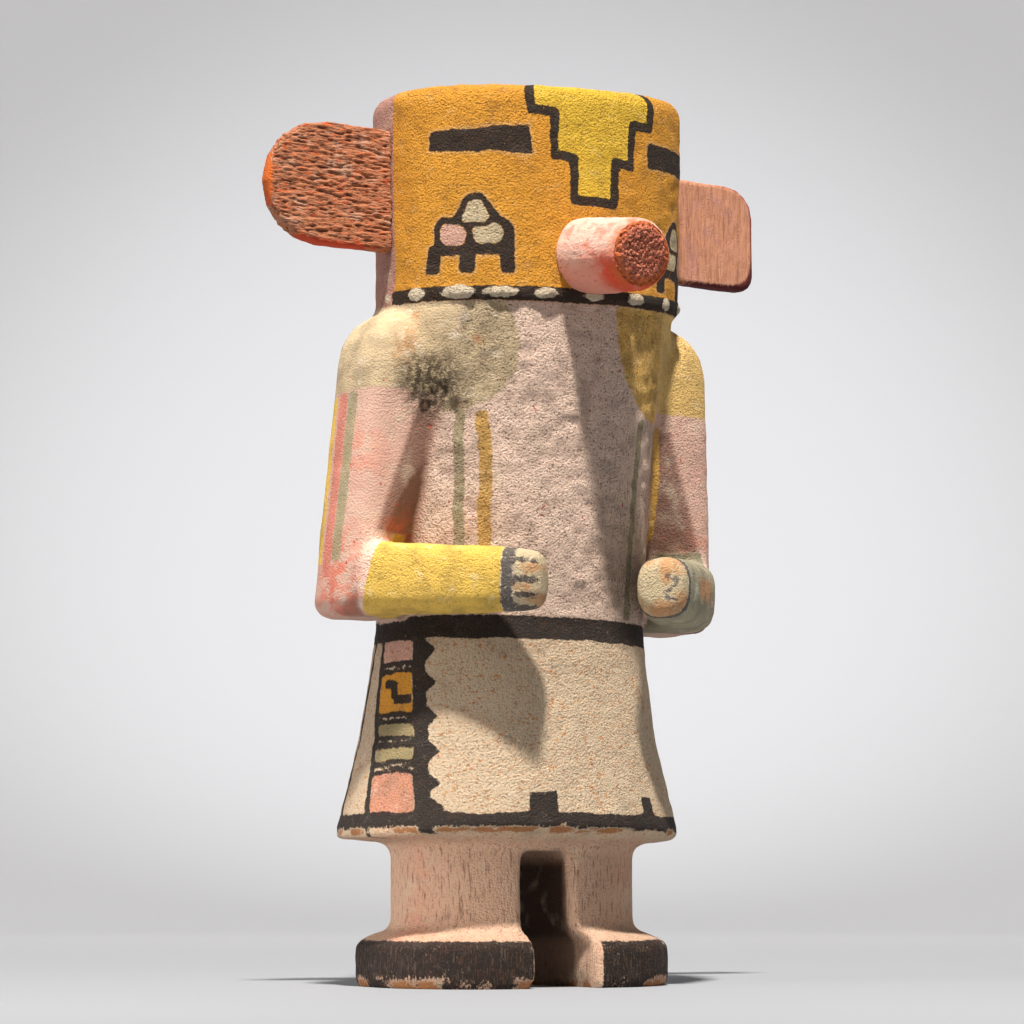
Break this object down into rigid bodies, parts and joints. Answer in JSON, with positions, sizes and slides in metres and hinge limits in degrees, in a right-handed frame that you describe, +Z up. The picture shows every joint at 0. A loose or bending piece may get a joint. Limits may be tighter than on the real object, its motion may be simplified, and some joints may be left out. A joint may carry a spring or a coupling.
{
  "type": "carved kachina doll",
  "caption": "Standing carved and painted wooden kachina doll with a drum-shaped mask, side ears, a peg snout, folded arms, a flared kilt and separate legs.",
  "frame": {"origin": "on the ground under the centre of the doll's bounding box", "axes": "+Z up, the doll faces -Y, and its own right hand is towards -X"},
  "size_m": [0.1568, 0.1001, 0.2501],
  "materials": {
    "painted_wood": "matt mineral paint over white clay on carved root wood, rough, worn to bare wood along the edges",
    "red_ear_wood": "thin matt red-orange paint on deeply ridged grain",
    "pink_ear_wood": "thin matt pink paint on fine upright grain",
    "pink_snout_wood": "matt pink paint with a bare, dark end-grain tip"
  },
  "bodies": {
    "root": {"figure": "painted_wood", "right_ear": "red_ear_wood", "left_ear": "pink_ear_wood", "snout": "pink_snout_wood"}
  },
  "joints": []
}
